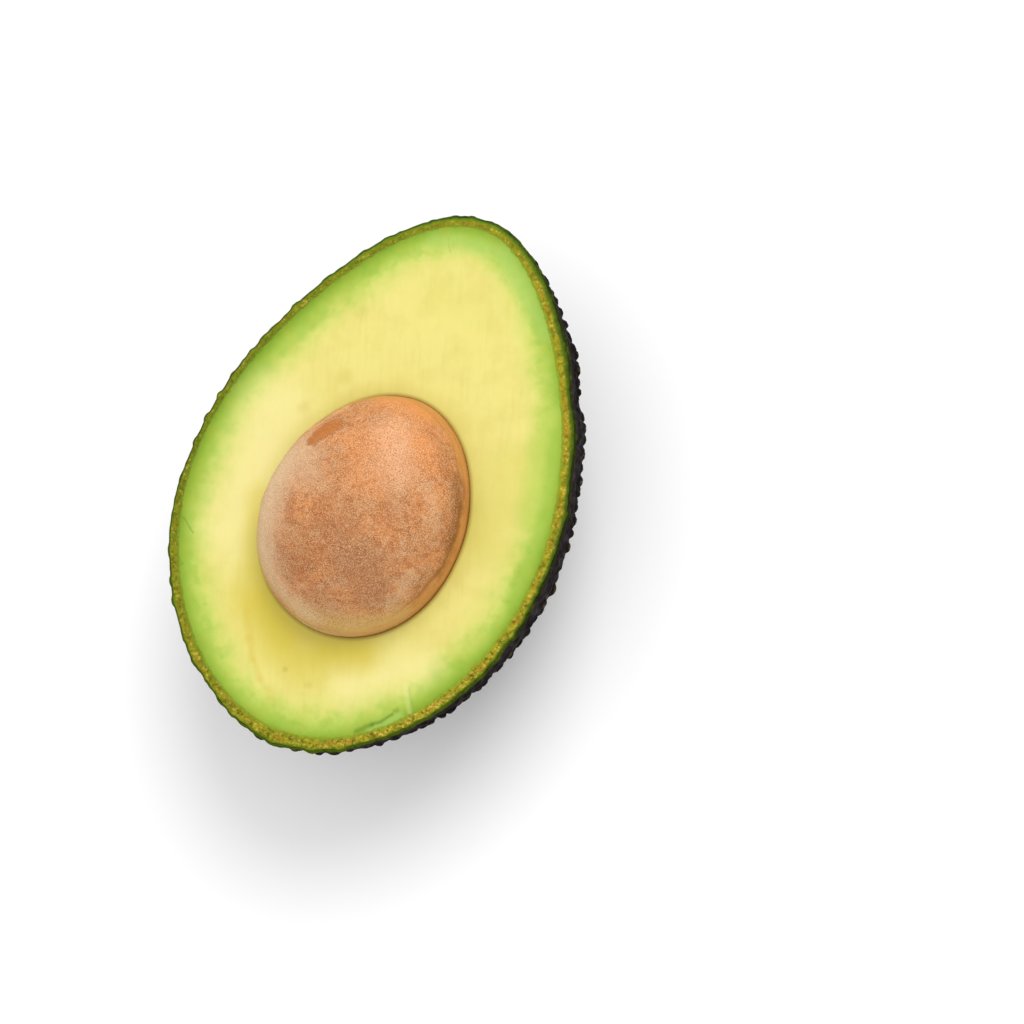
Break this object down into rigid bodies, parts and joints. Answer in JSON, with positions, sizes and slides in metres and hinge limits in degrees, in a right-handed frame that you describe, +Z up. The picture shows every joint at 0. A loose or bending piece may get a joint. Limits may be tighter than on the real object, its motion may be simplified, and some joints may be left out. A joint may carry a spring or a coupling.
{
  "type": "avocado half",
  "caption": "Half of a ripe avocado lying cut face up, with dark pebbled skin, green to yellow flesh and its brown pit in place.",
  "frame": {"origin": "the middle of the small flat spot on the underside that the half rests on, under its centre of mass", "axes": "+Z up, square to the cut face, which is level and faces up; +Y along the fruit towards the neck, where the stem was; +X across it"},
  "size_m": [0.0724, 0.101, 0.0503],
  "materials": {
    "skin": "dark, waxy and pebbled outside, olive green where cut",
    "flesh": "soft and slightly moist, green beside the skin and pale yellow inside",
    "pit": "dry brown seed coat with a fine pale bloom"
  },
  "bodies": {
    "root": {"skin": "skin", "flesh": "flesh", "pit": "pit"}
  },
  "joints": []
}
